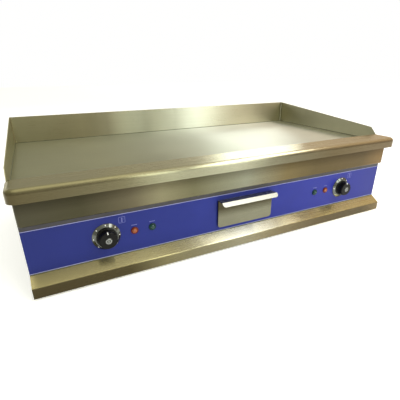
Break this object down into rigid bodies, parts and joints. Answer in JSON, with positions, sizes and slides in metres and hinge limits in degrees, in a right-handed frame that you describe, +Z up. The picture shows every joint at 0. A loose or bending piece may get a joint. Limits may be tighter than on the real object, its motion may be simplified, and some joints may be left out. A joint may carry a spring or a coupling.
{
  "type": "flat top griddle",
  "caption": "Electric countertop griddle: flat steel cooking plate with splash guards, rolled front rail, blue control panel with dial knobs, pilot lamps and a pull-out grease drawer.",
  "frame": {"origin": "middle of the overall length and depth, level with the undersides of the four feet", "axes": "+X to the right along the length, +Y from the front to the back, +Z up"},
  "size_m": [1, 0.54, 0.287],
  "materials": {
    "plate_steel": "ground cooking surface, fine grain left to right",
    "guard_steel": "satin stainless sheet",
    "rail_steel": "bright satin stainless, rolled edge",
    "skirt_steel": "satin stainless, upright grain",
    "plinth_steel": "satin stainless sheet",
    "drawer_steel": "satin stainless sheet",
    "housing_steel": "plain stainless sheet",
    "inner_steel": "galvanised sheet",
    "overlay_blue": "glossy royal blue film",
    "bezel_metal": "bright dial ring",
    "knob_black": "black heat-resistant plastic",
    "chrome": "bright plated",
    "shaft_steel": "turned steel",
    "lens_amber": "translucent amber",
    "lens_green": "translucent dark green",
    "lamp_plastic": "moulded nylon",
    "thermostat_case": "plated case",
    "sensor_copper": "copper",
    "element_sheath": "heat-darkened alloy sheath",
    "blanket": "white ceramic fibre",
    "fastener_steel": "zinc plated",
    "earth_brass": "plain brass",
    "gland_nylon": "black nylon",
    "terminal_ceramic": "white ceramic",
    "wire_sleeve": "heat-resistant sleeving",
    "foot_rubber": "black rubber"
  },
  "bodies": {
    "housing": {"griddle_plate": "plate_steel", "back_guard": "guard_steel", "left_guard": "guard_steel", "right_guard": "guard_steel", "front_rail": "rail_steel", "front_skirt": "skirt_steel", "front_plinth": "plinth_steel", "left_side_panel": "housing_steel", "right_side_panel": "housing_steel", "rear_panel": "housing_steel", "bottom_panel": "housing_steel", "control_panel": "housing_steel", "front_bar": "inner_steel", "centre_bar": "inner_steel", "heat_shield": "inner_steel", "clamp_bars": "inner_steel", "left_drawer_guide": "inner_steel", "right_drawer_guide": "inner_steel", "grease_chute": "inner_steel", "panel_overlay": "overlay_blue", "left_bezel": "bezel_metal", "right_bezel": "bezel_metal", "left_amber_lens": "lens_amber", "right_amber_lens": "lens_amber", "left_green_lens": "lens_green", "right_green_lens": "lens_green", "lamp_bodies": "lamp_plastic", "left_thermostat": "thermostat_case", "right_thermostat": "thermostat_case", "left_sensor": "sensor_copper", "right_sensor": "sensor_copper", "left_element": "element_sheath", "right_element": "element_sheath", "left_insulation": "blanket", "right_insulation": "blanket", "clamp_studs": "fastener_steel", "clamp_nuts": "fastener_steel", "thermostat_screws": "fastener_steel", "rear_screws": "fastener_steel", "foot_screws": "fastener_steel", "earth_stud": "earth_brass", "earth_nut": "earth_brass", "cable_gland": "gland_nylon", "gland_locknut": "gland_nylon", "terminal_block": "terminal_ceramic", "wiring": "wire_sleeve", "foot_front_left": "foot_rubber", "foot_front_right": "foot_rubber", "foot_back_left": "foot_rubber", "foot_back_right": "foot_rubber"},
    "drawer": {"drawer_front": "drawer_steel", "drawer_tray": "drawer_steel"},
    "left_knob_group": {"left_knob": "knob_black", "left_knob_ring": "chrome", "left_knob_cap": "chrome", "left_shaft": "shaft_steel"},
    "right_knob_group": {"right_knob": "knob_black", "right_knob_ring": "chrome", "right_knob_cap": "chrome", "right_shaft": "shaft_steel"}
  },
  "joints": [
    {"name": "drawer_slide", "type": "slide", "parent": "housing", "child": "drawer", "axis": [0, -1, 0], "range_m": [0, 0.3]},
    {"name": "left_knob_turn", "type": "hinge", "parent": "housing", "child": "left_knob_group", "pos_m": [-0.339, -0.25, 0.093], "axis": [0, 1, 0], "range_deg": [0, 280]},
    {"name": "right_knob_turn", "type": "hinge", "parent": "housing", "child": "right_knob_group", "pos_m": [0.339, -0.25, 0.093], "axis": [0, 1, 0], "range_deg": [0, 280]}
  ]
}
